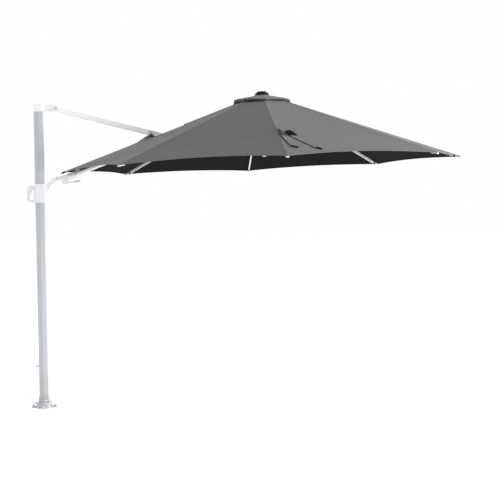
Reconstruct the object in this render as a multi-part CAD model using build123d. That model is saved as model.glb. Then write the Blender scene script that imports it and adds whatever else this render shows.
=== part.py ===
from build123d import *
import math
import os

# Cantilever parasol, millimetres, Z up, origin at the middle of the base flange's underside.
# The mast stands on the Z axis, and the arm carries the canopy out along +X.

# Base
FLANGE_R = 74
FLANGE_T = 12
BOLT_R = 92
BOLT_HOLE_R = 6.5
LUG_R = 17
AXLE_R = 14
RUN = 0.06

# Mast
MAST_X = 40
MAST_Y = 31
MAST_WALL = 3
MAST_FOOT = 104
MAST_TOP = 2544

# Linkage pivots in the X-Z plane: A on the mast head, C on the carriage, B where the strut meets the boom.
# A and C share one X, and AB equals BC, so the carriage runs straight down the mast.
PIVOT_X = 150
A_Z = 2572
C_Z = 1972
B_X = 1150
B_Z = (A_Z + C_Z) / 2
STRUT_ANGLE = 14.61
STRUT_AXIS = -8
PIN_R = 6

# Canopy: an eight-sided pyramid on a frame tilted a little about Y
CANOPY_X = 1940
CANOPY_Z = 2071.5
TILT = 1.607
RIM_R = 1750
RISE = 615.5
SLOPE = math.degrees(math.atan2(RISE, RIM_R))
HINGE_R = 60
FABRIC_UP = 13
CLOTH = 1.2
HINGE_Z = RISE - HINGE_R * RISE / RIM_R - FABRIC_UP / math.cos(math.radians(SLOPE))
RIB_LENGTH = (RIM_R - HINGE_R) / math.cos(math.radians(SLOPE))
JOINT_X = 664
JOINT_DROP = 21.5
STRETCHER = math.hypot(JOINT_X, JOINT_DROP)
STRETCHER_ANGLE = SLOPE + math.degrees(math.atan2(JOINT_DROP, JOINT_X))
RUNNER_Z = HINGE_Z - 2 * STRETCHER * math.sin(math.radians(STRETCHER_ANGLE))
VENT_R = 255
VENT_UP = 8

# Boom
BOOM_R = 21
BOOM_DROP = 44
BOOM_END = 1742
COLLAR_R = 27.5

RIB_NAMES = ["right", "back_right", "back", "back_left", "front_left", "front", "front_right"]
RIB_TURNS = [0, 45, 90, 135, 225, 270, 315]
BOOM_TURN = 180


def box(x0, x1, y0, y1, z0, z1):
    return Pos((x0 + x1) / 2, (y0 + y1) / 2, (z0 + z1) / 2) * Box(x1 - x0, y1 - y0, z1 - z0)


def rod_z(x, y, z0, z1, r):
    return Pos(x, y, (z0 + z1) / 2) * Cylinder(r, z1 - z0)


def rod_y(x, z, y0, y1, r):
    return Pos(x, (y0 + y1) / 2, z) * Rot(90, 0, 0) * Cylinder(r, y1 - y0)


def rod_x(x0, x1, y, z, r):
    return Pos((x0 + x1) / 2, y, z) * Rot(0, 90, 0) * Cylinder(r, x1 - x0)


def plate_y(points, y0, y1):
    """A flat plate with its outline given as X-Z points."""
    face = make_face(Polyline(*[(x, z) for x, z in points], close=True))
    solid = extrude(face, amount=y1 - y0)
    return Pos(0, y1, 0) * Rot(90, 0, 0) * solid


def prism_z(points, z0, z1):
    face = make_face(Polyline(*points, close=True))
    return Pos(0, 0, z0) * extrude(face, amount=z1 - z0)


def rounded_box(x0, x1, y0, y1, z0, z1, radius):
    solid = box(x0, x1, y0, y1, z0, z1)
    return fillet(solid.edges().filter_by(Axis.Z), radius)


def canopy_place(turn=0):
    return Pos(CANOPY_X, 0, CANOPY_Z) * Rot(0, -TILT, 0) * Rot(0, 0, turn)


def rib_place(turn):
    """X runs outwards along the rib from its hinge pin, Z is the rib's outer side."""
    return canopy_place(turn) * Pos(HINGE_R, 0, HINGE_Z) * Rot(0, SLOPE, 0)


def strut_place():
    return Pos(PIVOT_X, 0, A_Z) * Rot(0, STRUT_ANGLE, 0)


def in_frame(place, x, z):
    """An X-Z world point in the X-Z coordinates of a place."""
    v = place.inverse() * Pos(x, 0, z)
    return v.position.X, v.position.Z


def save(name, shape):
    export_step(shape, f"parts/{name}.step")


# ---- base and swivel ----


def base_flange():
    body = rod_z(0, 0, 0, FLANGE_T, FLANGE_R)
    for turn in range(0, 360, 90):
        arm = box(0, BOLT_R, -LUG_R, LUG_R, 0, FLANGE_T) + rod_z(BOLT_R, 0, 0, FLANGE_T, LUG_R)
        body += Rot(0, 0, turn) * arm
    body = chamfer(body.edges().group_by(Axis.Z)[-1], 1.5)
    for turn in range(0, 360, 90):
        body -= Rot(0, 0, turn) * rod_z(BOLT_R, 0, -1, FLANGE_T + 1, BOLT_HOLE_R)
    return body - rod_z(0, 0, -1, FLANGE_T + 1, AXLE_R)


def flange_nuts():
    nuts = []
    for turn in range(0, 360, 90):
        washer = rod_z(BOLT_R, 0, FLANGE_T, FLANGE_T + 2.5, 12)
        hexagon = Pos(BOLT_R, 0, FLANGE_T + 2.5) * extrude(RegularPolygon(10.9, 6), amount=12)
        nut = washer + hexagon - rod_z(BOLT_R, 0, 0, 40, 6.15)
        nuts.append(Rot(0, 0, turn) * nut)
    return Compound(children=nuts)


def swivel_axle():
    shaft = rod_z(0, 0, 0, 60, AXLE_R) + rod_z(0, 0, FLANGE_T, 16, 22)
    return shaft + rod_z(0, 0, 60, 66, 18)


def notch_ring():
    ring = rod_z(0, 0, FLANGE_T, 20, 66) - rod_z(0, 0, 0, 30, 44)
    for turn in range(0, 360, 30):
        ring -= Rot(0, 0, turn + 180) * box(50, 70, -4.5, 4.5, 15, 30)
    return ring


def swivel_socket():
    body = rod_z(0, 0, 21, 48, 70)
    body = fillet(body.edges().group_by(Axis.Z)[-1], 8)
    body += rod_z(0, 0, 48, 72, 53)
    for turn in range(45, 360, 90):
        body += Rot(0, 0, turn) * box(48, 68, -4, 4, 40, 62)
    body -= rod_z(0, 0, 0, 62, AXLE_R + RUN)
    body -= rod_z(0, 0, 59.5, 80, 20)
    body -= rod_z(0, 0, 0, 21.5, 24)
    body -= box(-90, -30, -10.5, 10.5, 10, 47.9)
    return body - rod_y(-40, 38, -20, 20, 4)


def mast_outline(inset=0):
    x, y, c = MAST_X - inset, MAST_Y - inset, 5
    e = y - 5
    return [(-x, -e + c), (-x + c, -e), (0, -y), (x - c, -e), (x, -e + c),
            (x, e - c), (x - c, e), (0, y), (-x + c, e), (-x, e - c)]


def mast_spigot():
    body = prism_z(mast_outline(MAST_WALL + 0.4), 72, 470)
    body -= prism_z(mast_outline(MAST_WALL + 3.4), 76, 480)
    return body - rod_x(-45, -30, 0, 360, 4)


def mast_collar():
    body = prism_z(mast_outline(-3), 72, MAST_FOOT) - prism_z(mast_outline(MAST_WALL + 0.4), 60, 120)
    for z in (80, 88, 96):
        body -= prism_z(mast_outline(-4), z, z + 1.6) - prism_z(mast_outline(-1.5), z, z + 1.6)
    return body


def mast_tube():
    body = prism_z(mast_outline(), MAST_FOOT, MAST_TOP)
    body -= prism_z(mast_outline(MAST_WALL), MAST_FOOT - 1, MAST_TOP + 1)
    return body - rod_x(-50, -30, 0, 360, 4.4)


def mast_head():
    cap = rounded_box(-44, 46, -35, 35, MAST_TOP, 2608, 10)
    cap = fillet(cap.edges().group_by(Axis.Z)[-1], 6)
    plug = prism_z(mast_outline(MAST_WALL + 0.3), MAST_TOP - 40, MAST_TOP)
    plug -= prism_z(mast_outline(MAST_WALL + 4), MAST_TOP - 45, MAST_TOP - 6)
    outline = [(30, 2548), (110, 2550), (140, 2553), (158, 2555), (168, 2566),
               (168, 2582), (158, 2592), (110, 2602), (30, 2602)]
    ears = plate_y(outline, -23.5, -15.5) + plate_y(outline, 15.5, 23.5)
    web = box(40, 84, -16, 16, 2549, 2602)
    return cap + plug + ears + web - rod_y(PIVOT_X, A_Z, -40, 40, PIN_R)


def strut_top_pin():
    body = rod_y(PIVOT_X, A_Z, -26, 26, PIN_R)
    return body + rod_y(PIVOT_X, A_Z, -28, -23.5, 10) + rod_y(PIVOT_X, A_Z, 23.5, 28, 10)


def wing_screw():
    stem = rod_x(-52, -31, 0, 360, 3.9)
    boss = rod_x(-58, -41, 0, 360, 9)
    wing = plate_y([(-58, 360), (-52, 360), (-60, 386), (-70, 390), (-72, 384)], -2.5, 2.5)
    other = plate_y([(-58, 360), (-52, 360), (-60, 334), (-70, 330), (-72, 336)], -2.5, 2.5)
    return stem + boss + wing + other


def foot_pedal():
    arm = plate_y([(-104, 66), (-74, 46.5), (-38, 45.5), (-33, 40), (-36, 31.5), (-60, 27.2), (-66, 27.2),
                   (-76, 31.5), (-106, 57)], -8, 8)
    pad = plate_y([(-100, 70), (-122, 82), (-124, 77), (-106, 58), (-96, 56)], -22, 22)
    pawl = box(-66, -59, -4, 4, 20.8, 29)
    return arm + pad + pawl - rod_y(-40, 38, -20, 20, 4 + RUN)


def pedal_pin():
    return rod_y(-40, 38, -13, 13, 4)


# ---- strut ----


def b_in_strut():
    return in_frame(strut_place(), B_X, B_Z)


def strut_tube():
    xb, zb = b_in_strut()
    z = STRUT_AXIS
    body = box(30, xb - 228, -15, 15, z - 22.5, z + 22.5)
    body = fillet(body.edges().filter_by(Axis.X), 4)
    body -= box(25, xb, -12.5, 12.5, z - 20, z + 20)
    return strut_place() * body


def strut_top_end():
    z = STRUT_AXIS
    lug = rod_y(0, 0, -15, 15, 17) + box(0, 30, -15, 15, -24, 9)
    plug = box(28, 70, -12.2, 12.2, z - 19.7, z + 19.7)
    return strut_place() * (lug + plug - rod_y(0, 0, -40, 40, PIN_R + RUN))


def strut_fork():
    xb, zb = b_in_strut()
    z = STRUT_AXIS
    block = box(xb - 228, xb - 200, -33.5, 33.5, z - 20, z + 20)
    plug = box(xb - 270, xb - 227, -12.2, 12.2, z - 19.7, z + 19.7)
    outline = [(xb - 205, z + 20), (xb - 30, z + 20), (xb + 4, z + 8), (xb + 16, zb + 4), (xb + 13, zb - 10),
               (xb, zb - 16), (xb - 14, zb - 10), (xb - 40, z - 18), (xb - 205, z - 20)]
    arms = plate_y(outline, -33.5, -28.5) + plate_y(outline, 28.5, 33.5)
    return strut_place() * (block + plug + arms - rod_y(xb, zb, -50, 50, PIN_R))


def strut_fork_pin():
    pin = rod_y(B_X, B_Z, -36, 36, PIN_R)
    return pin + rod_y(B_X, B_Z, -37.5, -33.5, 9) + rod_y(B_X, B_Z, 33.5, 37.5, 9)


# ---- elbow, collar, lever ----


def boom_collar():
    place = rib_place(BOOM_TURN)
    xb, zb = in_frame(place, B_X, B_Z)
    ring = rod_x(xb - 35, xb + 35, 0, -BOOM_DROP, COLLAR_R)
    lug = box(xb - 17, xb + 17, -27.5, 27.5, zb, -BOOM_DROP - 12)
    lug += rod_y(xb, zb, -27.5, 27.5, 17)
    body = ring + lug - rod_x(xb - 50, xb + 50, 0, -BOOM_DROP, BOOM_R + RUN)
    return place * (body - rod_y(xb, zb, -50, 50, PIN_R + RUN))


def elbow_housing():
    place = rib_place(BOOM_TURN)
    xc, zc = in_frame(place, PIVOT_X, C_Z)
    xl, zl = in_frame(place, 205, 1926)
    shell = rod_x(1688, 1760, 0, -BOOM_DROP, 28)
    shell = fillet(shell.edges().group_by(Axis.X)[-1], 5)
    neck = plate_y([(1735, -BOOM_DROP + 22), (xc, zc + 16), (xc, zc - 16), (1735, -BOOM_DROP - 22)], -10, 10)
    neck += rod_y(xc, zc, -10, 10, 16)
    ears = plate_y([(xl - 70, -BOOM_DROP - 12), (xl + 14, -BOOM_DROP + 6), (xl + 9, zl - 9), (xl - 9, zl - 9)], -11, 11)
    ears -= box(xl - 60, xl + 60, -5.5, 5.5, zl - 30, -BOOM_DROP - 27.5)
    body = shell + neck + ears
    body -= rod_x(1680, BOOM_END + 1, 0, -BOOM_DROP, BOOM_R + RUN)
    body -= rod_y(xl, zl, -20, 20, 3)
    return place * (body - rod_y(xc, zc, -50, 50, PIN_R + RUN))


def lever_pin():
    return rod_y(205, 1926, -12, 12, 3)


def tilt_lock_lever():
    head = rod_y(205, 1926, -5, 5, 7.5)
    bar = plate_y([(205, 1930), (232, 1938), (340, 1952), (343, 1948), (341, 1943), (234, 1929), (206, 1920)], -4, 4)
    eye = rod_y(240, 1935.5, -4.5, 4.5, 9) - rod_y(240, 1935.5, -9, 9, 4)
    grip = plate_y([(286, 1949), (341, 1956), (346, 1948), (342, 1940), (288, 1932)], -7, 7)
    body = head + bar + eye + grip - rod_y(240, 1935.5, -9, 9, 4)
    return body - rod_y(205, 1926, -20, 20, 3 + RUN)


# ---- carriage ----


def carriage_sleeve():
    outer = rounded_box(-48, 50, -40, 40, 1766, 1926, 12)
    outer = chamfer(outer.edges().group_by(Axis.Z)[-1], 3)
    outer = chamfer(outer.edges().group_by(Axis.Z)[0], 3)
    return outer - prism_z(mast_outline(-0.5), 1700, 2000)


def carriage_arm():
    outline = [(50, 1800), (60, 1862), (84, 1904), (112, 1928), (140, 1948), (158, 1955), (168, 1966),
               (168, 1980), (158, 1990), (134, 1990), (108, 1974), (84, 1946), (50, 1922)]
    body = plate_y(outline, -18.5, 18.5)
    body -= box(124, 200, -10.6, 10.6, 1900, 2010)
    return body - rod_y(PIVOT_X, C_Z, -50, 50, PIN_R)


def elbow_pin():
    pin = rod_y(PIVOT_X, C_Z, -21, 21, PIN_R)
    return pin + rod_y(PIVOT_X, C_Z, -22.5, -18.5, 10) + rod_y(PIVOT_X, C_Z, 18.5, 22.5, 10)


def carriage_handle():
    outline = [(-48, 1768), (-92, 1772), (-108, 1790), (-112, 1850), (-104, 1894), (-86, 1912), (-48, 1920)]
    inner = [(-52, 1790), (-84, 1794), (-90, 1806), (-93, 1850), (-87, 1884), (-78, 1892), (-52, 1887)]
    body = plate_y(outline, -14, 14) - plate_y(inner, -20, 20)
    body -= box(-74, -58, -6.5, 6.5, 1885, 1907)
    return body + rod_y(-66, 1898, -14, 14, 2.5)


def release_trigger():
    outline = [(-62, 1900), (-70, 1900), (-73, 1884), (-82, 1874), (-85, 1842), (-81, 1818), (-76.5, 1818),
               (-79, 1842), (-74, 1866), (-62, 1880)]
    body = plate_y(outline, -6, 6)
    return body - rod_y(-66, 1898, -20, 20, 2.5 + RUN)


# ---- boom and hub ----


def boom_tube():
    body = rod_x(60, BOOM_END, 0, -BOOM_DROP, BOOM_R)
    body -= rod_x(50, BOOM_END + 1, 0, -BOOM_DROP, BOOM_R - 2.5)
    return rib_place(BOOM_TURN) * body


def boom_hub_end():
    outline = [(-6, 8), (6, 10), (30, -18), (60, -26), (60, -62), (44, -62), (10, -30), (-9, -6)]
    body = plate_y(outline, -9, 9) + rod_y(0, 0, -9, 9, 11)
    body += rod_x(46, 60, 0, -BOOM_DROP, BOOM_R)
    body += rod_x(59, 100, 0, -BOOM_DROP, BOOM_R - 2.7)
    return rib_place(BOOM_TURN) * (body - rod_y(0, 0, -20, 20, 5 + RUN))


def canopy_tip_arm():
    ring = rod_x(1636, 1680, 0, -BOOM_DROP, 27) - rod_x(1600, 1700, 0, -BOOM_DROP, BOOM_R)
    post = box(1642, 1674, -6, 6, -BOOM_DROP + 24, 4)
    arm = box(1642, 1784, -14, 14, 3, 9)
    return rib_place(BOOM_TURN) * (ring + post + arm)


def boom_stretcher_saddle():
    body = box(JOINT_X - 20, JOINT_X + 20, -22, 22, -BOOM_DROP + 4, -JOINT_DROP + 9)
    body -= rod_x(JOINT_X - 40, JOINT_X + 40, 0, -BOOM_DROP, BOOM_R)
    top = rod_y(JOINT_X, -JOINT_DROP, -44, -22, 4) + rod_y(JOINT_X, -JOINT_DROP, 22, 44, 4)
    return rib_place(BOOM_TURN) * (body + top)


def crown(z, wide):
    """A hub disc with one pair of ears for each rib; wide is the boom's own gap and ear, half widths."""
    body = rod_z(0, 0, z - 14, z + 14, 48)
    for turn in range(0, 360, 45):
        gap, side = wide if turn == BOOM_TURN else (5.3, 11)
        ear = box(40, HINGE_R + 11, gap, side, z - 11, z + 11)
        other = box(40, HINGE_R + 11, -side, -gap, z - 11, z + 11)
        body += Rot(0, 0, turn) * (ear + other)
    for turn in RIB_TURNS:
        body -= Rot(0, 0, turn) * rod_y(HINGE_R, z, -30, 30, 3.5)
    return body


def canopy_hub():
    body = crown(HINGE_Z, (9.5, 16)) + rod_z(0, 0, HINGE_Z, 626, 12)
    body -= Rot(0, 0, BOOM_TURN) * rod_y(HINGE_R, HINGE_Z, -30, 30, 5)
    body -= Rot(0, 0, BOOM_TURN) * box(27, 60, -9.5, 9.5, HINGE_Z - 15, HINGE_Z + 15)
    return canopy_place() * body


def hub_hinge_pins():
    pins = []
    for turn in RIB_TURNS:
        pins.append(canopy_place(turn) * rod_y(HINGE_R, HINGE_Z, -11.5, 11.5, 3.5))
    pins.append(canopy_place(BOOM_TURN) * rod_y(HINGE_R, HINGE_Z, -18, 18, 5))
    return Compound(children=pins)


def finial():
    profile = Polyline((12.2, 621), (30, 614.4), (62, 603.2), (62, 611), (39, 630), (36, 632), (0, 632),
                       (0, 626.5), (12.2, 626.5), close=True)
    body = revolve(Plane.XZ * make_face(profile), Axis.Z)
    return canopy_place() * body


# ---- runner ----


def runner_hub():
    z = RUNNER_Z
    body = rod_z(0, 0, z - 12, z + 12, 48)
    for turn in RIB_TURNS:
        ear = box(40, HINGE_R + 10, 4.3, 9.5, z - 10, z + 10)
        other = box(40, HINGE_R + 10, -9.5, -4.3, z - 10, z + 10)
        body += Rot(0, 0, turn) * (ear + other)
        body -= Rot(0, 0, turn) * rod_y(HINGE_R, z, -30, 30, 3.5)
    lug = box(40, HINGE_R, -22, 22, z - 8, z + 8) + rod_y(HINGE_R, z, -22, 22, 8)
    body += Rot(0, 0, BOOM_TURN) * lug
    return canopy_place() * (body - Rot(0, 0, BOOM_TURN) * rod_y(HINGE_R, z, -30, 30, 4))


def runner_hinge_pins():
    pins = []
    for turn in RIB_TURNS:
        pins.append(canopy_place(turn) * rod_y(HINGE_R, RUNNER_Z, -10, 10, 3.5))
    pins.append(canopy_place(BOOM_TURN) * rod_y(HINGE_R, RUNNER_Z, -30, 30, 4))
    return Compound(children=pins)


def runner_knob():
    knob = rod_z(0, 0, RUNNER_Z - 32, RUNNER_Z - 12, 17)
    knob = fillet(knob.edges().group_by(Axis.Z)[0], 6)
    return canopy_place() * knob


# ---- ribs ----


def rib(turn):
    tongue = rod_y(0, 0, -5, 5, 9) + box(0, 34, -5, 5, -8, 8)
    plug = box(30, 60, -5.4, 5.4, -8.4, 8.4)
    tube = box(34, RIB_LENGTH - 58, -7, 7, -10, 10) - box(20, RIB_LENGTH, -5.4, 5.4, -8.4, 8.4)
    ears = box(JOINT_X - 14, JOINT_X + 14, -7.4, -4.4, -JOINT_DROP - 7, 6)
    ears += box(JOINT_X - 14, JOINT_X + 14, 4.4, 7.4, -JOINT_DROP - 7, 6)
    ears -= box(JOINT_X - 20, JOINT_X + 20, -5.4, 5.4, -8.4, 8.4)
    pin = rod_y(JOINT_X, -JOINT_DROP, -7.4, 7.4, 3.5)
    body = tongue + plug + tube + ears + pin - rod_y(0, 0, -20, 20, 3.5 + RUN)
    return Compound(children=[rib_place(turn) * body, rib_place(turn) * rib_tip()])


def rib_tip():
    end = RIB_LENGTH - 2
    plug = box(end - 92, end - 54, -5.2, 5.2, -8.2, 8.2)
    outline = [(end - 56, -11), (end - 48, -11), (end - 28, -1), (end - 3, -1), (end, 1), (end, 6),
               (end - 3, 9.6), (end - 56, 9.6)]
    tab = box(end - 28, end, -12.5, 12.5, -1, 7.2)
    tab = fillet(tab.edges().filter_by(Axis.Z).group_by(Axis.X)[-1], 4)
    return plug + plate_y(outline, -8, 8) + tab


def stretcher(turn):
    """Modelled along X from its rib joint, then turned to run down and in to the runner."""
    bar = box(0, STRETCHER, -4, 4, -7, 7) + rod_y(0, 0, -4, 4, 7) + rod_y(STRETCHER, 0, -4, 4, 7)
    bar -= box(60, STRETCHER - 60, -2.4, 2.4, -10, 4.6)
    bar -= rod_y(0, 0, -9, 9, 3.5 + RUN) + rod_y(STRETCHER, 0, -9, 9, 3.5 + RUN)
    return stretcher_place(turn) * bar


def stretcher_place(turn):
    joint = rib_place(turn) * Pos(JOINT_X, 0, -JOINT_DROP)
    x, y, z = joint.position
    return Pos(x, y, z) * Rot(0, -TILT, 0) * Rot(0, 0, turn) * Rot(0, 180 - STRETCHER_ANGLE, 0)


def boom_stretcher():
    """Two arms astride the boom, wide at its saddle so that they fold past the strut's fork, narrow at the runner."""
    arms = None
    for side in (-1, 1):
        wide, narrow, step = sorted((40 * side, 44 * side)), sorted((24 * side, 28 * side)), sorted((24 * side, 44 * side))
        arm = box(0, 340, *wide, -7, 7) + rod_y(0, 0, *wide, 7) + box(334, 340, *step, -7, 7)
        arm += box(334, STRETCHER, *narrow, -7, 7) + rod_y(STRETCHER, 0, *narrow, 7)
        arms = arm if arms is None else arms + arm
    arms += box(400, 424, -24.5, 24.5, -5, 5)
    arms -= rod_y(0, 0, -50, 50, 4 + RUN) + rod_y(STRETCHER, 0, -40, 40, 4 + RUN)
    return stretcher_place(BOOM_TURN) * arms


# ---- cloth ----


def slab(corners):
    """A flat sheet of cloth with its upper side through the corners, which go round anticlockwise."""
    face = Face(Wire.make_polygon([Vector(*c) for c in corners], close=True))
    normal = face.normal_at()
    amount = -CLOTH if normal.Z > 0 else CLOTH
    return extrude(face, amount=amount, dir=normal)


def ridge_z(radius, up=0):
    return RISE + up - radius * RISE / RIM_R


def half_gore(turn, side, r0, r1, up):
    """Half a cloth gore, from the ridge over a rib to the middle of the panel beside it."""
    flat = math.cos(math.radians(22.5))
    mid = math.radians(22.5) * side
    c, s = math.cos(mid) * flat, math.sin(mid) * flat
    corners = [(r0, 0, ridge_z(r0, up)), (r1, 0, ridge_z(r1, up)),
               (r1 * c, r1 * s, ridge_z(r1, up)), (r0 * c, r0 * s, ridge_z(r0, up))]
    if side < 0:
        corners = corners[::-1]
    return slab(corners)


def gore(turn):
    main = half_gore(turn, 1, 120, RIM_R, 0) + half_gore(turn, -1, 120, RIM_R, 0)
    vent = half_gore(turn, 1, 30, VENT_R, VENT_UP) + half_gore(turn, -1, 30, VENT_R, VENT_UP)
    if turn == BOOM_TURN:
        main -= box(690, 1000, -50, 50, 200, 400)
    return Compound(children=[canopy_place(turn) * main, canopy_place(turn) * vent])


def on_panel(x, y, up):
    """A point on the flat panel beside the front ridge: x runs out under the ridge, y is the distance to its side."""
    return x, y, RISE + up - (x + y * math.tan(math.radians(22.5))) * RISE / RIM_R


def patch(outline, up, thick):
    face = Face(Wire.make_polygon([Vector(*on_panel(x, y, up)) for x, y in outline], close=True))
    normal = face.normal_at()
    return extrude(face, amount=thick if normal.Z > 0 else -thick, dir=normal)


def tie(start, end, half):
    """A narrow band from start to end with a flat toggle on its far end."""
    (x0, y0), (x1, y1) = start, end
    length = math.hypot(x1 - x0, y1 - y0)
    ux, uy = (x1 - x0) / length, (y1 - y0) / length
    px, py = -uy, ux

    def band(a, b, w, thick):
        return patch([(x0 + ux * a - px * w, y0 + uy * a - py * w), (x0 + ux * b - px * w, y0 + uy * b - py * w),
                      (x0 + ux * b + px * w, y0 + uy * b + py * w), (x0 + ux * a + px * w, y0 + uy * a + py * w)],
                     0.6, thick)
    return band(0, length, half, 1.4) + band(length - 52, length, 8, 7)


def tie_strap():
    flap = patch([(1066, 12), (1222, 6), (1232, 84), (1184, 158), (1062, 118)], 0.6, 3)
    flap += tie((1200, 20), (1528, 96), 5) + tie((1190, 80), (1500, 284), 5)
    return canopy_place(270) * flap


NODES = {
    "base_flange": base_flange, "flange_nuts": flange_nuts, "swivel_axle": swivel_axle, "notch_ring": notch_ring,
    "swivel_socket": swivel_socket, "mast_spigot": mast_spigot, "mast_collar": mast_collar, "mast_tube": mast_tube,
    "mast_head": mast_head, "strut_top_pin": strut_top_pin, "wing_screw": wing_screw, "foot_pedal": foot_pedal,
    "pedal_pin": pedal_pin, "strut_tube": strut_tube, "strut_top_end": strut_top_end, "strut_fork": strut_fork,
    "strut_fork_pin": strut_fork_pin, "boom_collar": boom_collar, "elbow_housing": elbow_housing,
    "lever_pin": lever_pin, "tilt_lock_lever": tilt_lock_lever, "carriage_sleeve": carriage_sleeve,
    "carriage_arm": carriage_arm, "elbow_pin": elbow_pin,
    "carriage_handle": carriage_handle, "release_trigger": release_trigger, "boom_tube": boom_tube,
    "boom_hub_end": boom_hub_end, "canopy_tip_arm": canopy_tip_arm,
    "boom_stretcher_saddle": boom_stretcher_saddle, "canopy_hub": canopy_hub, "hub_hinge_pins": hub_hinge_pins,
    "finial": finial, "runner_hub": runner_hub, "runner_hinge_pins": runner_hinge_pins,
    "runner_knob": runner_knob, "tie_strap": tie_strap, "boom_stretcher": boom_stretcher,
}


def main():
    os.makedirs("parts", exist_ok=True)
    for name, make in NODES.items():
        save(name, make())
    for name, turn in zip(RIB_NAMES, RIB_TURNS):
        save(f"rib_{name}", rib(turn))
        save(f"stretcher_{name}", stretcher(turn))
        save(f"canopy_{name}", gore(turn))
    save("canopy_left", gore(BOOM_TURN))


main()
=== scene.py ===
"""Looks for a cantilever parasol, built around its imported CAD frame."""
import math

import bpy
import numpy as np
from mathutils import Matrix, Vector


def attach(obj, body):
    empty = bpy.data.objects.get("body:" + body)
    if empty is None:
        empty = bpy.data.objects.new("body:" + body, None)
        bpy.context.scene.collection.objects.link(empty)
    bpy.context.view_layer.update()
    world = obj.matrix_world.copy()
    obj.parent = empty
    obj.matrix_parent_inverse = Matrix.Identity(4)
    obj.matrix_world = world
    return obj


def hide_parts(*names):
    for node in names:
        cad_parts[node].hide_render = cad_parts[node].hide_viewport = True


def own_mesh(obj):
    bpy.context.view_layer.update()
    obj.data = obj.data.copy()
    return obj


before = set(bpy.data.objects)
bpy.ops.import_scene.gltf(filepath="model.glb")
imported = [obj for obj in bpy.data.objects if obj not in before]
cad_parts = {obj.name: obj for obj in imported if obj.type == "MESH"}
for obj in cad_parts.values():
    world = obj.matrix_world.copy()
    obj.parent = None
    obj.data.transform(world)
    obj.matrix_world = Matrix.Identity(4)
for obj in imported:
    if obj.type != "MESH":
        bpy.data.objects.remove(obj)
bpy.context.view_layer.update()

# ---- sizes, in metres ----
# the canopy's own frame: its axis leans with the boom, and X points along its right ridge
CANOPY_AT = Vector((1.940, 0, 2.0715))
CANOPY_TILT = math.radians(1.607)
RIM = 1.750
RISE = 0.6155
STEEP = RISE / RIM
HALF_GORE = math.radians(22.5)
GORE_TAN = math.tan(HALF_GORE)
SLOPE = math.atan(STEEP)
# where the gores start, under the vent
GORE_IN = 0.120
TURNS = {"right": 0, "back_right": 45, "back": 90, "back_left": 135, "left": 180,
         "front_left": 225, "front": 270, "front_right": 315}
# cloth, hems, weaves and stitches
CLOTH_THICK = 0.0012
HEM_EXTRA = 0.0011
HEM_WIDTH = 0.0205
WEAVE = 0.0016
TAPE_WEAVE = 0.0011
STITCH_PITCH = 0.0045
STITCH_GAP = 0.28
SEAM_STITCH_AT = 0.0065
HEM_STITCH_AT = 0.019
# how far the hems are drawn in at mid panel, from BOW_FROM out, and how far the panels sag, which
# fades from FLAT_FROM out
BOW_FRONT, BOW_BACK, BOW_FROM = 0.084, 0.052, 0.55
SAG, SAG_LOST, FLAT_FROM = 0.016, 0.85, 1.2
# the bead of the seam on each ridge, with a groove along its middle
BEAD_HALF, BEAD_EDGE, BEAD_HIGH = 0.0105, 0.0025, 0.0011
GROOVE_HALF, GROOVE_SHARE = 0.002, 0.45
# the ribs' line under the cloth: where it starts, how far below the cloth it is and how long
HINGE_R = 0.060
RIB_BELOW = 0.013
RIB_END = 1.7915


def canopy_frame(turn):
    return (Matrix.Translation(CANOPY_AT) @ Matrix.Rotation(-CANOPY_TILT, 4, "Y")
            @ Matrix.Rotation(math.radians(turn), 4, "Z"))


def rib_frame(turn):
    """X out along the rib from its hinge pin, Z the rib's outer side."""
    hinge = Matrix.Translation((HINGE_R, 0, RISE - HINGE_R * STEEP - RIB_BELOW / math.cos(SLOPE)))
    return canopy_frame(turn) @ hinge @ Matrix.Rotation(SLOPE, 4, "Y")


def rider(name):
    return "boom" if name == "left" else "rib_" + name


# ---- node helpers ----
class Tree:
    def __init__(self, name):
        self.mat = bpy.data.materials.new(name)
        self.mat.use_nodes = True
        self.nt = self.mat.node_tree
        self.bsdf = next(n for n in self.nt.nodes if n.type == "BSDF_PRINCIPLED")

    def add(self, kind, sockets=None, out=0, **props):
        node = self.nt.nodes.new("ShaderNode" + kind)
        for k, v in props.items():
            setattr(node, k, v)
        for k, v in (sockets or {}).items():
            if isinstance(v, bpy.types.NodeSocket):
                self.nt.links.new(v, node.inputs[k])
            else:
                node.inputs[k].default_value = v
        return node.outputs[out]

    def math(self, op, a, b=0.0, c=0.0):
        return self.add("Math", {0: a, 1: b, 2: c}, operation=op)

    def noise(self, where, scale, detail=2.0):
        return self.add("TexNoise", {"Vector": where, "Scale": scale, "Detail": detail})

    def ramp(self, value, low, high, to_low, to_high):
        return self.add("MapRange", {"Value": value, "From Min": low, "From Max": high,
                                     "To Min": to_low, "To Max": to_high})

    def mix(self, factor, a, b, blend="MIX"):
        node = self.nt.nodes.new("ShaderNodeMix")
        node.data_type, node.blend_type = "RGBA", blend
        for key, v in ((0, factor), (6, a), (7, b)):
            if isinstance(v, bpy.types.NodeSocket):
                self.nt.links.new(v, node.inputs[key])
            else:
                node.inputs[key].default_value = v
        return node.outputs[2]

    def set(self, **sockets):
        for k, v in sockets.items():
            socket = self.bsdf.inputs[k.replace("_", " ")]
            if isinstance(v, bpy.types.NodeSocket):
                self.nt.links.new(v, socket)
            else:
                socket.default_value = v
        return self

    def bump(self, height, distance, strength=1.0):
        sockets = {"Height": height, "Distance": distance, "Strength": strength}
        return self.set(Normal=self.add("Bump", sockets))

    def place(self):
        return self.add("TexCoord", out=3)


def rgb(r, g=None, b=None, k=1.0):
    g, b = (r if g is None else g), (r if b is None else b)
    return (r * k, g * k, b * k, 1.0)


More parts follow.
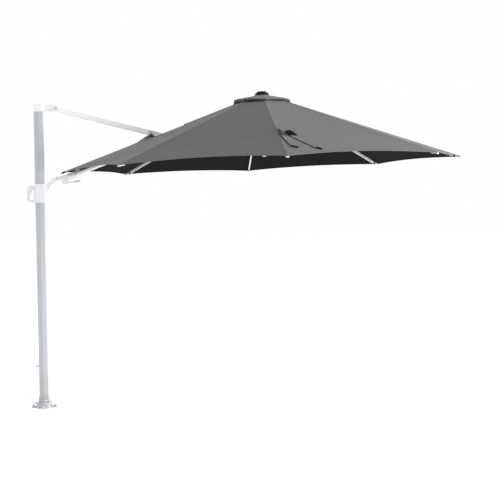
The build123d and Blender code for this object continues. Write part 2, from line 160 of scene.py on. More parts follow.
def painted(name, colour, rough, dust=0.0):
    """Powder-coated metal: orange peel, faint cloudiness, and dust near the ground."""
    t = Tree(name)
    at = t.place()
    cloud = t.noise(at, 6.0, 4.0)
    fine = t.noise(at, 260.0, 2.0)
    base = t.mix(t.ramp(cloud, 0.3, 0.7, 0.0, 1.0), rgb(*colour, k=0.955), rgb(*colour))
    if dust:
        height = t.add("SeparateXYZ", {0: at}, out=2)
        patchy = t.ramp(t.noise(at, 30.0, 5.0), 0.35, 0.7, 0.0, dust)
        low = t.math("MULTIPLY", t.ramp(height, 0.0, 0.5, 1.0, 0.0), patchy)
        base = t.mix(low, base, rgb(0.30, 0.27, 0.23))
    both = t.math("ADD", cloud, fine)
    t.set(Base_Color=base, Roughness=t.ramp(both, 0.7, 1.3, rough - 0.05, rough + 0.08), IOR=1.5)
    t.bump(t.math("ADD", t.noise(at, 420.0, 1.0), t.math("MULTIPLY", fine, 0.5)), 0.00012, 0.6)
    return t.mat


def moulded(name, colour, rough, grain=900.0, depth=0.00012, gloss=0.5):
    """Moulded plastic: fine spark-eroded grain, flow shading and slightly polished patches."""
    t = Tree(name)
    at = t.place()
    cell = t.add("TexVoronoi", {"Vector": at, "Scale": grain}, out=0)
    flow = t.noise(at, 14.0, 3.0)
    shade = t.mix(t.ramp(flow, 0.3, 0.7, 0.0, 1.0), rgb(*colour, k=0.93), rgb(*colour, k=1.03))
    t.set(Base_Color=shade, Roughness=t.ramp(flow, 0.3, 0.7, rough - 0.07, rough + 0.07), IOR=1.46,
          Specular_IOR_Level=gloss)
    t.bump(t.math("ADD", cell, t.math("MULTIPLY", t.noise(at, 60.0, 2.0), 0.6)), depth, 0.7)
    return t.mat


def plated(name):
    """Zinc-plated steel: drawn streaks and small spangles."""
    t = Tree(name)
    at = t.place()
    streak = t.noise(t.add("Mapping", {0: at, 3: (30.0, 900.0, 900.0)}), 1.0, 3.0)
    spangle = t.add("TexVoronoi", {"Vector": at, "Scale": 420.0}, out=0)
    dark, light = rgb(0.50, 0.51, 0.53), rgb(0.66, 0.67, 0.68)
    t.set(Base_Color=t.mix(t.ramp(spangle, 0.0, 0.6, 0.0, 1.0), dark, light), Metallic=1.0,
          Roughness=t.ramp(streak, 0.3, 0.7, 0.24, 0.44))
    t.bump(streak, 0.00006, 0.5)
    return t.mat


def stitches(t, away, where, half, along):
    """Dashes along a line that is where from an edge, with away the distance from it."""
    off = t.math("ABSOLUTE", t.math("SUBTRACT", away, where))
    line = t.math("LESS_THAN", off, half)
    step = t.math("FRACT", t.math("MULTIPLY", along, 1 / STITCH_PITCH))
    return t.math("MULTIPLY", line, t.math("GREATER_THAN", step, STITCH_GAP))


def woven(name, colour, pitch, seam=True, sheen=0.08, coarse=1.0, gloss=0.18):
    """Woven cloth on UVs in metres: plain weave, slubs, faded clouds, and stitches by seams and hems."""
    t = Tree(name)
    uv = t.add("UVMap", uv_map="cloth")
    u, v = (t.add("SeparateXYZ", {0: uv}, out=i) for i in (0, 1))
    turn = math.pi / pitch
    warp = t.math("ABSOLUTE", t.math("SINE", t.math("MULTIPLY", u, turn)))
    weft = t.math("ABSOLUTE", t.math("SINE", t.math("MULTIPLY", v, turn)))
    over = t.add("TexChecker", {"Vector": uv, "Scale": 1 / pitch}, out=1)
    under = t.math("SUBTRACT", 1.0, over)
    weave = t.math("ADD", t.math("MULTIPLY", warp, over), t.math("MULTIPLY", weft, under))
    slub = t.noise(t.add("Mapping", {0: uv, 3: (18.0, 420.0, 1.0)}), 1.0, 2.0)
    slub2 = t.noise(t.add("Mapping", {0: uv, 3: (420.0, 18.0, 1.0)}), 1.0, 2.0)
    cloud = t.noise(t.place(), 2.2, 3.0)
    tone = t.math("ADD", t.ramp(cloud, 0.3, 0.7, -0.035, 0.035),
                  t.math("MULTIPLY", t.math("ADD", slub, slub2), 0.16 * coarse))
    tone = t.math("ADD", tone, t.ramp(weave, 0.0, 1.0, 0.74, 0.86))
    base = t.add("VectorMath", {0: colour[:3], "Scale": tone}, operation="SCALE")
    height = weave
    if seam:
        near = t.add("Attribute", attribute_name="seam", out=2)
        hem = t.add("Attribute", attribute_name="hem", out=2)
        rows = stitches(t, near, SEAM_STITCH_AT, 0.0006, v)
        edge = stitches(t, hem, HEM_STITCH_AT, 0.0007, u)
        stitch = t.math("MAXIMUM", rows, edge)
        base = t.mix(stitch, base, rgb(*colour[:3], k=0.45))
        folds = t.noise(t.add("Mapping", {0: uv, 3: (8.0, 70.0, 1.0)}), 1.0, 2.0)
        pucker = t.math("MULTIPLY", t.ramp(near, SEAM_STITCH_AT, 0.030, 1.0, 0.0), folds)
        raised = t.math("ADD", t.math("MULTIPLY", stitch, 1.5), t.math("MULTIPLY", pucker, 4.0))
        height = t.math("ADD", height, raised)
    t.set(Base_Color=base, Roughness=0.92, Sheen_Weight=sheen, Sheen_Roughness=0.45,
          Specular_IOR_Level=gloss)
    t.bump(height, 0.00025, 0.7)
    return t.mat


# painted shade: this white is set darker than the other white parts, for the shade that falls on the mast
# and its foot
WHITE_WITH_PAINTED_SHADE = (0.52, 0.54, 0.565)
FINISHES = {
    "white_metal": painted("white_powder_coat_painted_shade", WHITE_WITH_PAINTED_SHADE, 0.34, dust=0.35),
    "silver_metal": painted("pale_powder_coat", (0.84, 0.84, 0.82), 0.32),
    "rib_metal": painted("rib_powder_coat", (0.70, 0.70, 0.685), 0.32),
    "boom_metal": painted("boom_powder_coat", (0.86, 0.87, 0.88), 0.34),
    "white_plastic": moulded("white_plastic", (0.84, 0.85, 0.87), 0.46),
    "pale_grey_plastic": moulded("pale_grey_plastic", (0.66, 0.67, 0.69), 0.5),
    # painted light: the strut's white is set brighter than the mast's, for the strong light that falls on
    # the strut
    "strut_metal_painted_light": painted("strut_powder_coat_painted_light", (0.93, 0.935, 0.945), 0.36),
    "black_plastic": moulded("black_plastic", (0.006, 0.006, 0.0065), 0.55, gloss=0.10),
    "steel": plated("zinc_plate"),
    "top": woven("canopy_cloth", rgb(0.119, 0.1195, 0.120), WEAVE, sheen=0.08),
    "under": woven("canopy_underside", rgb(0.010, 0.010, 0.0105), WEAVE, sheen=0.0, gloss=0.06),
    "vent": woven("vent_cloth", rgb(0.150, 0.142, 0.144), WEAVE),
    # black webbing for the ties and rib-end loops; the same black is also painted shade in the flap's mouth
    # and along the strut's slot
    "dark": woven("dark_webbing_and_painted_shade", rgb(0.0085, 0.0085, 0.009), TAPE_WEAVE, seam=False, sheen=0.0,
                  gloss=0.06),
    # painted shade: the canopy cloth set darker, for folded-up cloth that lies in shade
    "shade": woven("folded_cloth_painted_shade", rgb(0.052, 0.052, 0.053), WEAVE, seam=False, sheen=0.0,
                   gloss=0.10),
    # dark tape round the vent's rims, also painted shade for the shadow under each rim
    "tape": woven("webbing_tape_and_painted_shade", rgb(0.030, 0.030, 0.031), TAPE_WEAVE, seam=False, coarse=1.6),
}

# ---- finishes of the CAD nodes ----
FINISH = {
    "white_metal": ["mast_tube", "mast_collar", "mast_spigot", "strut_fork", "swivel_socket",
                    "base_flange"],
    "white_plastic": ["mast_head", "carriage_sleeve", "carriage_arm", "carriage_handle", "runner_knob",
                      "strut_top_end", "foot_pedal", "elbow_housing"],
    "boom_metal": ["boom_tube", "boom_collar", "canopy_tip_arm", "boom_hub_end"],
    "strut_metal_painted_light": ["strut_tube"],
    "pale_grey_plastic": ["tilt_lock_lever", "release_trigger", "boom_stretcher_saddle"],
    "black_plastic": ["canopy_hub", "runner_hub", "finial"],
    "steel": ["flange_nuts", "swivel_axle", "notch_ring", "strut_top_pin", "pedal_pin", "wing_screw",
              "strut_fork_pin", "lever_pin", "elbow_pin", "hub_hinge_pins", "runner_hinge_pins"],
}
finish_of = {n: key for key, names in FINISH.items() for n in names}
for node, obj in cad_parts.items():
    obj.data.materials.clear()
    thin = "rib_metal" if node.startswith(("rib_", "stretcher_")) else "silver_metal"
    obj.data.materials.append(FINISHES[finish_of.get(node, thin)])


# ---- cloth meshes ----
def shell(name, top, thick, keep=None, seam=None, hem=None, uv=None, frame_m=Matrix.Identity(4),
          mats=("top", "under"), patch=None):
    """A closed sheet from a grid of upper points and thicknesses; only cells with keep(i, j) are made,
    and those with patch(i, j) take the third material. An edge that only one cell has gets a wall."""
    upper = np.array(top, float)
    rows, cols = upper.shape[:2]
    di, dj = np.gradient(upper, axis=0), np.gradient(upper, axis=1)
    normal = np.cross(di, dj)
    normal /= np.linalg.norm(normal, axis=2, keepdims=True) + 1e-12
    up = normal[rows // 2, cols // 2, 2] > 0
    if not up:
        normal = -normal
    lower = upper - normal * np.array(thick)[..., None]
    count = rows * cols
    points = np.concatenate([upper.reshape(-1, 3), lower.reshape(-1, 3)])
    cells = [(i, j) for i in range(rows - 1) for j in range(cols - 1) if keep is None or keep(i, j)]

    def at(i, j):
        return i * cols + j

    faces, kinds, edges = [], [], {}
    for i, j in cells:
        quad = [at(i, j), at(i + 1, j), at(i + 1, j + 1), at(i, j + 1)]
        if not up:
            quad.reverse()
        faces += [quad, [k + count for k in reversed(quad)]]
        kinds += [2, 2] if patch and patch(i, j) else [0, 1]
        edges.update(dict.fromkeys(zip(quad, quad[1:] + quad[:1])))
    for a, b in edges:
        if (b, a) not in edges:
            faces.append([b, a, a + count, b + count])
            kinds.append(0)
    held = sorted({k for f in faces for k in f})
    new = {k: n for n, k in enumerate(held)}
    mesh = bpy.data.meshes.new(name)
    places = [frame_m @ Vector(points[k]) for k in held]
    mesh.from_pydata(places, [], [[new[k] for k in f] for f in faces])
    for key in mats:
        mesh.materials.append(FINISHES[key])
    mesh.polygons.foreach_set("material_index", kinds)
    mesh.polygons.foreach_set("use_smooth", [True] * len(faces))
    mesh.update()
    mesh.set_sharp_from_angle(angle=math.radians(40))
    grid_uv = np.array(uv, float).reshape(-1, 2)
    layer = mesh.uv_layers.new(name="cloth")
    loops = np.zeros(len(mesh.loops), int)
    mesh.loops.foreach_get("vertex_index", loops)
    back = np.array(held)[loops] % count
    layer.data.foreach_set("uv", grid_uv[back].reshape(-1))
    for label, values in (("seam", seam), ("hem", hem)):
        if values is not None:
            attribute = mesh.attributes.new(label, "FLOAT", "POINT")
            flat_values = np.array(values, float).reshape(-1)
            attribute.data.foreach_set("value", flat_values[np.array(held) % count])
    obj = bpy.data.objects.new(name, mesh)
    bpy.context.scene.collection.objects.link(obj)
    return obj


def smooth(x, a, b):
    t = min(1.0, max(0.0, (x - a) / (b - a)))
    return t * t * (3 - 2 * t)


# where the cloth's grid lines lie across a ridge: fixed beside the seam, then shares of the rest
FIXED = [0.0, 0.0045, 0.008, BEAD_HALF, 0.020]
SHARES = [0.10, 0.17, 0.25, 0.34, 0.44, 0.55, 0.66, 0.77, 0.88, 1.0]
# below this half width the fixed lines close up
FULL_GORE, FULL_VENT = 0.12, 0.05
# the strut's slot in the left ridge, from and to, the half width of the strip that holds it, and the
# raised hood at its outer end
HOLE = (0.690, 1.000)
STRIP_IN, STRIP_OUT, STRIP_OUT_AT = 0.030, 0.078, 0.900
HOOD_AT, HOOD_HIGH, HOOD_IN, HOOD_OUT, HOOD_WIDE = 1.006, 0.027, 0.036, 0.060, 0.070


def half_width(r):
    return r * math.cos(HALF_GORE) * math.sin(HALF_GORE)


def side_line(r):
    """Where the left gore's fixed middle strip ends: straight, so each side part folds to a plane."""
    return STRIP_IN + (r - GORE_IN) * (STRIP_OUT - STRIP_IN) / (STRIP_OUT_AT - GORE_IN)


def beside_ridge(m, full, lines=len(FIXED)):
    return [d * min(1.0, m / full) for d in FIXED[:lines]]


def both_sides(half):
    return [-y for y in reversed(half[1:])] + half


def spread(half, m, shares):
    """The lines beside the ridge and those that share out the rest, on both sides."""
    return both_sides(half + [half[-1] + (m - half[-1]) * s for s in shares])


def gore_rows(r0, r1, extra=()):
    rows = list(np.linspace(r0, r1 - 0.030, 34))
    rows += [r1 - d for d in (0.0215, 0.0195, 0.010, 0.0015, 0.0)]
    return sorted(set(rows) | set(extra))


def bow(turn, y):
    """How far the hem is drawn in at mid panel: the panel beside the ridge at turn, on y's side."""
    return BOW_FRONT if (turn + (22.5 if y >= 0 else -22.5)) % 360 > 180 else BOW_BACK


def eased(share):
    """From 0 at a ridge to 1 at mid panel, level there."""
    return share * (2 - share)


def drawn_in(deep, curve, r):
    return deep * curve * smooth(r, BOW_FROM, RIM) * (r / RIM)


def sagged(ridge_r, curve, r):
    """Height of the cloth that meets the ridge's line at ridge_r."""
    return RISE - ridge_r * STEEP - SAG * curve * (r / RIM) * (1 - SAG_LOST * smooth(r, FLAT_FROM, RIM))


def main_point(r, y, m, hood, turn):
    """Upper cloth point of a main gore at r along the ridge and y across it; m is the half width there."""
    curve = eased(abs(y) / m)
    out = r - drawn_in(bow(turn, y), curve, r)
    across = y * out / r
    z = sagged(out, curve, r)
    bead = smooth(BEAD_HALF - abs(y), 0.0, BEAD_EDGE) * BEAD_HIGH
    z += bead * (GROOVE_SHARE if abs(y) < GROOVE_HALF else 1.0)
    if hood:
        reach = HOOD_OUT if r > HOOD_AT else HOOD_IN
        z += HOOD_HIGH * math.exp(-((r - HOOD_AT) / reach) ** 2) * math.exp(-(y / HOOD_WIDE) ** 4)
    return out - abs(across) * GORE_TAN, across, z


def main_gore(turn_name, ys_of, label, rows, keep=None, hood=False, patch=None):
    turn = TURNS[turn_name]
    top, thick, seam, hem, uv = [], [], [], [], []
    for r in rows:
        m = half_width(r)
        ys = ys_of(r, m)
        edge = RIM - r
        top.append([main_point(r, y, m, hood, turn) for y in ys])
        thick.append([CLOTH_THICK + HEM_EXTRA * smooth(HEM_WIDTH - edge, 0, 0.001)] * len(ys))
        seam.append([abs(y) for y in ys])
        hem.append([edge] * len(ys))
        uv.append([(y, r / math.cos(SLOPE)) for y in ys])
    return shell(label, top, thick, keep, seam, hem, uv, canopy_frame(turn), ("top", "under", "dark"),
                 patch)


# the share of its width that a folded gore keeps, less where the boom's gore is near
FOLD_KEEP = 0.16
TIGHT_KEEP = 0.10
VENT_KEEP = 0.33


def cloth_piece(obj, body, node):
    """A piece of cloth that rides on a body and stands for a CAD node."""
    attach(obj, body)
    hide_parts(node)


def folds(obj, turn, keep):
    """Give the piece a mesh of its own."""
    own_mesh(obj)


def gore_across(r, m):
    return spread(beside_ridge(m, FULL_GORE), m, SHARES)


for name, turn in TURNS.items():
    if name == "left":
        continue
    gore = main_gore(name, gore_across, "gore_" + name, gore_rows(GORE_IN, RIM))
    cloth_piece(gore, rider(name), "canopy_" + name)
    folds(gore, turn, TIGHT_KEEP if name in ("front_left", "back_left") else FOLD_KEEP)


# the left gore is a strip over the boom, with the strut's slot in it, and a part at each side
def strip_across(r, m):
    wide = side_line(r)
    return both_sides(beside_ridge(m, FULL_GORE) + [wide * share for share in (0.72, 0.88, 1.0)])


def part_across(side):
    def across(r, m):
        inner = side_line(r)
        return [side * (inner + (m - inner) * s) for s in [0.0, 0.03] + SHARES]
    return across


left_rows = gore_rows(GORE_IN, RIM, [HOLE[0] - 0.009, HOLE[0], 0.955, 0.97, 0.985, HOLE[1],
                                     HOLE[1] + 0.006, 1.012, 1.03, 1.05])
inside = [HOLE[0] < (a + b) / 2 < HOLE[1] for a, b in zip(left_rows, left_rows[1:])]


def open_cell(i, j):
    return inside[i] and 2 <= j < 12


def slot_tape_and_shade_cell(i, j):
    """Cells of the black tape that binds the slot; its black is also painted shade for the shadow between
    the cloth and the strut.
    """
    beyond = inside[min(i + 1, len(inside) - 1)] or inside[i - 1]
    return (inside[i] and j in (1, 12)) or (1 <= j < 13 and beyond)


strip = main_gore("left", strip_across, "gore_left_ridge", left_rows, hood=True, patch=slot_tape_and_shade_cell,
                  keep=lambda i, j: not open_cell(i, j))
cloth_piece(strip, "boom", "canopy_left")
for side, label in ((1, "gore_left_front"), (-1, "gore_left_back")):
    part = main_gore("left", part_across(side), label, left_rows, hood=True)
    cloth_piece(part, "boom", "canopy_left")
    a, b = (Vector((r, side * side_line(r), 0)) for r in (GORE_IN, 1.6))
    line = canopy_frame(180).to_3x3() @ (b - a).normalized()
    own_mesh(part)

# folded-up sides of the hood where the strut comes through, in the darker cloth as painted shade
EAR_ROWS, UPWARDS = 15, (0, 0.25, 0.5, 0.75, 1)
EAR_IN, EAR_PEAK, EAR_OUT, EAR_HIGH, EAR_SIDE = 0.974, 1.002, 1.052, 0.026, 0.064
for side, label in ((1, "hood_front"), (-1, "hood_back")):
    top, uv = [], []
    for k in range(EAR_ROWS):
        r = EAR_OUT - (EAR_OUT - EAR_IN) * k / (EAR_ROWS - 1)
        share = smooth(EAR_OUT - r, 0.0, EAR_OUT - EAR_PEAK) if r > EAR_PEAK else smooth(r, EAR_IN, EAR_PEAK)
        rise = EAR_HIGH * share
        x, y, z = main_point(r, side * EAR_SIDE, half_width(r), True, TURNS["left"])
        top.append([(x + 0.002 * f, y - side * 0.003 * f, z - 0.001 + (rise + 0.001) * f) for f in UPWARDS])
        uv.append([(0.03 * f, r) for f in UPWARDS])
    ear = shell(label, top, [[0.0016] * len(UPWARDS)] * EAR_ROWS, uv=uv, frame_m=canopy_frame(TURNS["left"]),
                mats=("shade", "dark"))
    cloth_piece(ear, "boom", "canopy_left")

# ---- vent cap ----
VENT_IN, VENT_OUT = 0.058, 0.258
VENT_ROWS = [VENT_IN, 0.075, 0.095, 0.115, 0.135, 0.155, 0.175, 0.19, 0.205, 0.218, 0.228, 0.236, 0.241,
             0.246, 0.250, 0.254, VENT_OUT]
VENT_SHARES = (0.15, 0.3, 0.45, 0.6, 0.75, 0.88, 1.0)
# how far the vent's rim stands off the canopy at each ridge
VENT_LIFT = {"left": 0.033, "front_left": 0.024, "back_left": 0.024, "front": 0.014, "back": 0.014,
             "front_right": 0.018, "back_right": 0.018, "right": 0.024}
LIFTS = [VENT_LIFT[n] for n in TURNS]
# where it starts to rise and over what length, how far it clears the canopy, and its crown mid panel
RISE_FROM, RISE_OVER, VENT_CLEAR, VENT_CROWN = 0.070, 0.165, 0.005, 0.003
# its rim from TURN_DOWN out: drawn in everywhere and more so mid panel, where it leaves a gap
TURN_DOWN, RIM_IN, RIM_BOW, RIM_GAP = 0.238, 0.006, 0.010, 0.32


def vent_lift(turn):
    """The rim's lift in any direction, even between the ridges."""
    a = (turn % 360) / 45
    k = int(a) % 8
    f = a - int(a)
    return LIFTS[k] * (1 - f) + LIFTS[(k + 1) % 8] * f


def vent_point(turn, r, y, m):
    """Upper point of the vent cloth: it rises off the canopy, and its rim turns down."""
    share = abs(y) / m
    curve = eased(share)
    out = min(1.0, max(0.0, (r - RISE_FROM) / RISE_OVER))
    drop = smooth(r, TURN_DOWN, VENT_OUT)
    lift = vent_lift(turn + math.copysign(22.5 * share, y))
    z = RISE - r * STEEP + VENT_CLEAR + (lift + VENT_CROWN * curve) * out
    z -= (lift + 0.001) * drop * (1 - RIM_GAP * curve)
    return r - abs(y) * GORE_TAN - RIM_BOW * curve * drop - RIM_IN * drop, y, z


def vent_tape_and_painted_shade(i, j):
    """Cells of the tape that binds the vent's rim, wider at the ridge; its dark is also painted shade for
    the shadow under the rim.
    """
    return i >= 13 or (i >= 11 and 9 <= j <= 12)


for name, turn in TURNS.items():
    top, thick, seam, hem, uv = [], [], [], [], []
    for r in VENT_ROWS:
        m = half_width(r)
        ys = spread(beside_ridge(m, FULL_VENT, 4), m, VENT_SHARES)
        top.append([vent_point(turn, r, y, m) for y in ys])
        thick.append([CLOTH_THICK + (0.0009 if VENT_OUT - r < 0.012 else 0)] * len(ys))
        seam.append([abs(y) for y in ys])
        hem.append([VENT_OUT - r + 0.008] * len(ys))
        uv.append([(y, r) for y in ys])
    vent = shell("vent_" + name, top, thick, None, seam, hem, uv, canopy_frame(turn),
                 ("vent", "under", "tape"), vent_tape_and_painted_shade)
    cloth_piece(vent, rider(name), "canopy_" + name)
    folds(vent, turn, VENT_KEEP)

# ---- webbing loops that hold the rib ends, and the bound tip over the boom's arm ----
LOOP = [(-1, 1.0), (-1, 0.25), (-0.93, 0.06), (-0.8, 0.0), (-0.4, 0.0), (0.4, 0.0), (0.8, 0.0),
        (0.93, 0.06), (1, 0.25), (1, 1.0)]
CAP = [(-1, 0.0), (-1, 0.55), (-0.86, 0.86), (-0.45, 0.98), (0.45, 0.98), (0.86, 0.86), (1, 0.55), (1, 0.0)]
# half width, lowest and highest of each over the rib's line
LOOP_SIZE = (0.0086, -0.0114, 0.0100)
CAP_SIZE = (0.020, 0.0012, 0.0156)
for name, turn in TURNS.items():
    if name == "left":
        end = RIB_END + 0.0024
        outline, (half, low, high) = CAP, CAP_SIZE
        length = [(end - 0.036, 0.0), (end - 0.024, 0.0), (end - 0.012, 0.0), (end - 0.003, 0.05),
                  (end, 0.2), (end, 0.6), (end, 0.97)]
    else:
        end = RIB_END - 0.066
        outline, (half, low, high) = LOOP, LOOP_SIZE
        length = [(end - 0.016, 0.0), (end - 0.008, 0.0), (end, 0.0)]
    top = [[(x, half * a * (1 - 0.12 * fall), low + (high - low) * b * (1 - fall)) for a, b in outline]
           for x, fall in length]
    uv = [[(half * a, x - 0.012 * fall) for a, b in outline] for x, fall in length]
    thick = [[0.0010] * len(outline)] * len(length)
    pocket = shell("pocket_" + name, top, thick, uv=uv, frame_m=rib_frame(turn), mats=("dark", "dark"))
    cloth_piece(pocket, rider(name), "canopy_" + name)


# ---- closing flap and ties beside the front ridge ----
def cloth_z(x, y):
    """Height of the stretched gore over a point of the canopy's own plan."""
    out = x + abs(y) * GORE_TAN
    curve = eased(min(1.0, abs(y) / half_width(out)))
    r = out
    for _ in range(4):
        r = out + drawn_in(BOW_FRONT, curve, r)
    return sagged(out, curve, r)


def strap_piece(obj):
    cloth_piece(obj, "rib_front", "tie_strap")
    folds(obj, TURNS["front"], FOLD_KEEP)


def laid(label, grid, lifts, thick, mats, uv):
    """A sheet that lies on the front gore: grid holds its points in plan, lifts their heights above it."""
    top = [[(x, y, cloth_z(x, y) + h) for (x, y), h in zip(line, hs)] for line, hs in zip(grid, lifts)]
    obj = shell(label, top, [[thick] * len(grid[0])] * len(grid), uv=uv,
                frame_m=canopy_frame(TURNS["front"]), mats=mats)
    strap_piece(obj)


STEPS = [k / 12 for k in range(13)]
FLAP_THICK = 0.0016
APEX, FOOT, TOE = (1.070, 0.012), (1.226, 0.002), (1.216, 0.092)


def between(a, b, share):
    return [p + (q - p) * share for p, q in zip(a, b)]


def wedge():
    """A wedge of cloth folded over beside the ridge, in the darker cloth as painted shade."""
    grid, lifts, uv = [], [], []
    for u in STEPS:
        near, far = between(APEX, FOOT, u), between(APEX, TOE, u)
        far[1] += 0.004 - 0.020 * math.sin(math.pi * u)
        grid.append([between(near, far, v) for v in STEPS])
        swell = 0.016 * math.sin(math.pi * min(1.0, 0.15 + 0.85 * u))
        lifts.append([0.0035 + swell * math.sin(math.pi * (0.2 + 0.8 * v)) for v in STEPS])
        uv.append([(0.092 * u * v, 0.160 * u) for v in STEPS])
    laid("strap_wedge", grid, lifts, FLAP_THICK, ("shade", "under"), uv)


def mouth():
    """The mouth of the folded flap, in black that is painted shade."""
    arch = [1 - (2 * u - 1) ** 2 for u in STEPS]
    grid, lifts, uv = [], [], []
    for v in STEPS:
        grid.append([(1.196 - 0.022 * (1 - a) - 0.128 * v * (0.06 + 0.94 * a), 0.050 + 0.100 * u)
                     for u, a in zip(STEPS, arch)])
        lifts.append([0.0032 + 0.017 * a * math.sin(math.pi * (0.12 + 0.88 * v)) for a in arch])
        uv.append([(0.100 * u, 0.128 * v) for u in STEPS])
    laid("strap_mouth", grid, lifts, FLAP_THICK, ("dark", "dark"), uv)


wedge()
mouth()

# two flat ties, each to a toggle
TIE_LINES = {"a": [(1.214, 0.002), (1.300, 0.018), (1.380, 0.033), (1.450, 0.045), (1.512, 0.062)],
             "b": [(1.200, 0.074), (1.270, 0.113), (1.340, 0.157), (1.420, 0.208), (1.482, 0.248)]}
TOGGLE_END = {"a": (1.530, 0.106), "b": (1.501, 0.289)}
TIE_ACROSS = (-0.0052, -0.0030, 0.0030, 0.0052)


def finer(line, parts):
    """The line's points, with each of its runs cut into parts."""
    points = [(a[0] + (b[0] - a[0]) * k / parts, a[1] + (b[1] - a[1]) * k / parts)
              for a, b in zip(line, line[1:]) for k in range(parts)]
    return points + [line[-1]]


def tie(label, line):
    """A flat tape along a line on the panel, a little wavy over it."""
    fine = finer(line, 6)
    grid, uv, run = [], [], 0.0
    for k, (x, y) in enumerate(fine):
        ax, ay = fine[max(k - 1, 0)]
        bx, by = fine[min(k + 1, len(fine) - 1)]
        size = math.hypot(bx - ax, by - ay)
        nx, ny = -(by - ay) / size, (bx - ax) / size
        grid.append([(x + nx * w, y + ny * w) for w in TIE_ACROSS])
        run += size / 2
        uv.append([(w, run) for w in TIE_ACROSS])
    # the panel slopes along nearly all of its run
    wave = [0.0040 + 0.0016 * math.sin(k * 1.1) for k in range(len(fine))]
    laid(label, grid, [[h, h + 0.0006, h + 0.0006, h] for h in wave], 0.0014,
         ("dark", "dark"), uv)


RINGS, AROUND = 24, 16
# half its width and thickness, how far it reaches past its ends, and how high its middle is
TOGGLE_WIDE, TOGGLE_THICK, TOGGLE_PAST, TOGGLE_UP = 0.0085, 0.0058, 0.004, 0.0082


def toggle(label, start, end):
    """A flat rounded bar that a tie is sewn into, lying on the panel from start to end."""
    (x0, y0), (x1, y1) = start, end
    z0, z1 = cloth_z(x0, y0), cloth_z(x1, y1)
    forward = Vector((x1 - x0, y1 - y0, z1 - z0))
    half_long = forward.length / 2 + TOGGLE_PAST
    forward.normalize()
    outward = Vector((STEEP, 0, 1)).normalized()
    sideways = outward.cross(forward).normalized()
    mid = Vector(((x0 + x1) / 2, (y0 + y1) / 2, (z0 + z1) / 2)) + outward * TOGGLE_UP
    verts, faces = [], []
    for i in range(RINGS + 1):
        a = math.pi * i / RINGS
        middle = 0 < i < RINGS
        along = -half_long * math.copysign(abs(math.cos(a)) ** 0.5, math.cos(a))
        ring = math.sin(a) ** 0.5 if middle else 0.0
        for j in range(AROUND if middle else 1):
            b = 2 * math.pi * j / AROUND
            wide = TOGGLE_WIDE * ring * math.cos(b)
            thick = TOGGLE_THICK * ring * math.sin(b)
            point = mid + forward * along + sideways * wide + outward * thick
            verts.append(canopy_frame(TURNS["front"]) @ point)
    last = 1 + (RINGS - 2) * AROUND
    pairs = [(j, (j + 1) % AROUND) for j in range(AROUND)]
    for first in range(1, last, AROUND):
        faces += [[first + j, first + k, first + AROUND + k, first + AROUND + j] for j, k in pairs]
    for j, k in pairs:
        faces += [[0, 1 + k, 1 + j], [last + j, last + k, len(verts) - 1]]
    mesh = bpy.data.meshes.new(label)
    mesh.from_pydata(verts, [], faces)
    mesh.materials.append(FINISHES["black_plastic"])
    mesh.polygons.foreach_set("use_smooth", [True] * len(faces))
    obj = bpy.data.objects.new(label, mesh)
    bpy.context.scene.collection.objects.link(obj)
    strap_piece(obj)


for key, line in TIE_LINES.items():
    tie("tie_" + key, line)
    toggle("toggle_" + key, line[-1], TOGGLE_END[key])

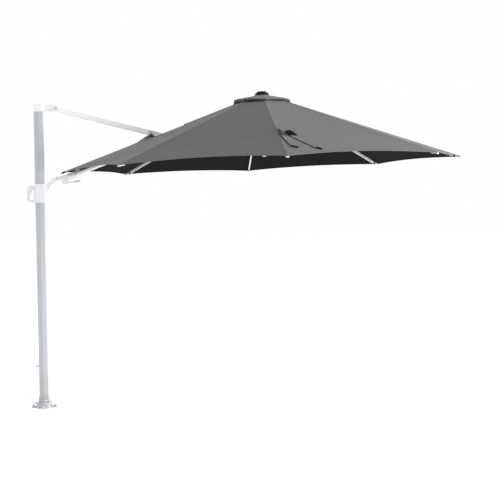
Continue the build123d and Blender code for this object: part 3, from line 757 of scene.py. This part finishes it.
# ---- camera ----
CAMERA_AT = (0.938, -10.427, 1.704)
YAW, PITCH, ROLL = (math.radians(a) for a in (4.730, -2.062, -0.848))
ahead = Vector((math.sin(YAW) * math.cos(PITCH), math.cos(YAW) * math.cos(PITCH), math.sin(PITCH)))
level = Vector((math.cos(YAW), -math.sin(YAW), 0))
over = level.cross(ahead)
right = level * math.cos(ROLL) + over * math.sin(ROLL)
above = over * math.cos(ROLL) - level * math.sin(ROLL)
camera = bpy.data.objects.new("camera", bpy.data.cameras.new("camera"))
camera.data.lens = 86.4
camera.data.sensor_width = 36.0
camera.data.clip_end = 200
turn_m = Matrix((right, above, -ahead)).transposed().to_4x4()
camera.matrix_world = Matrix.Translation(CAMERA_AT) @ turn_m
bpy.context.scene.collection.objects.link(camera)
bpy.context.scene.camera = camera

# ---- studio ----
scene = bpy.context.scene
scene.view_settings.view_transform = "Standard"
FLOOR_HALF, FLOOR_Z = 60, -0.002


def pale_floor():
    corners = [(sx * FLOOR_HALF, sy * FLOOR_HALF, FLOOR_Z)
               for sx, sy in ((-1, -1), (1, -1), (1, 1), (-1, 1))]
    mesh = bpy.data.meshes.new("floor")
    mesh.from_pydata(corners, [], [(0, 1, 2, 3)])
    floor = bpy.data.objects.new("floor", mesh)
    scene.collection.objects.link(floor)
    t = Tree("floor")
    seen = t.add("LightPath", out=0)
    t.set(Base_Color=t.mix(t.noise(t.place(), 1.5), rgb(0.80), rgb(0.82)), Roughness=0.9,
          Specular_IOR_Level=0.1, Emission_Color=rgb(1), Emission_Strength=t.math("MULTIPLY", seen, 0.35))
    mesh.materials.append(t.mat)


def pale_world():
    """White all round, a little less bright as light than as a backdrop."""
    world = bpy.data.worlds.new("studio")
    world.use_nodes = True
    nodes, links = world.node_tree.nodes, world.node_tree.links
    path = nodes.new("ShaderNodeLightPath")
    level = nodes.new("ShaderNodeMapRange")
    level.inputs["To Min"].default_value = 0.9
    level.inputs["To Max"].default_value = 1.0
    links.new(path.outputs["Is Camera Ray"], level.inputs["Value"])
    nodes["Background"].inputs[0].default_value = (1, 1, 1, 1)
    links.new(level.outputs[0], nodes["Background"].inputs[1])
    scene.world = world


def softbox(name, at, towards, size, power):
    lamp = bpy.data.lights.new(name, "AREA")
    lamp.shape, lamp.size, lamp.size_y, lamp.energy = "RECTANGLE", size[0], size[1], power
    obj = bpy.data.objects.new(name, lamp)
    obj.location = at
    obj.rotation_mode = "QUATERNION"
    obj.rotation_quaternion = (Vector(towards) - Vector(at)).to_track_quat("-Z", "Y")
    obj.visible_camera = False
    scene.collection.objects.link(obj)


pale_floor()
pale_world()
softbox("right", (10.6, -2.6, 3.0), (1.9, 0, 2.0), (3, 3), 1200)
softbox("left", (-6.5, 4.6, 3.0), (1.5, 0, 2.0), (3, 3), 520)
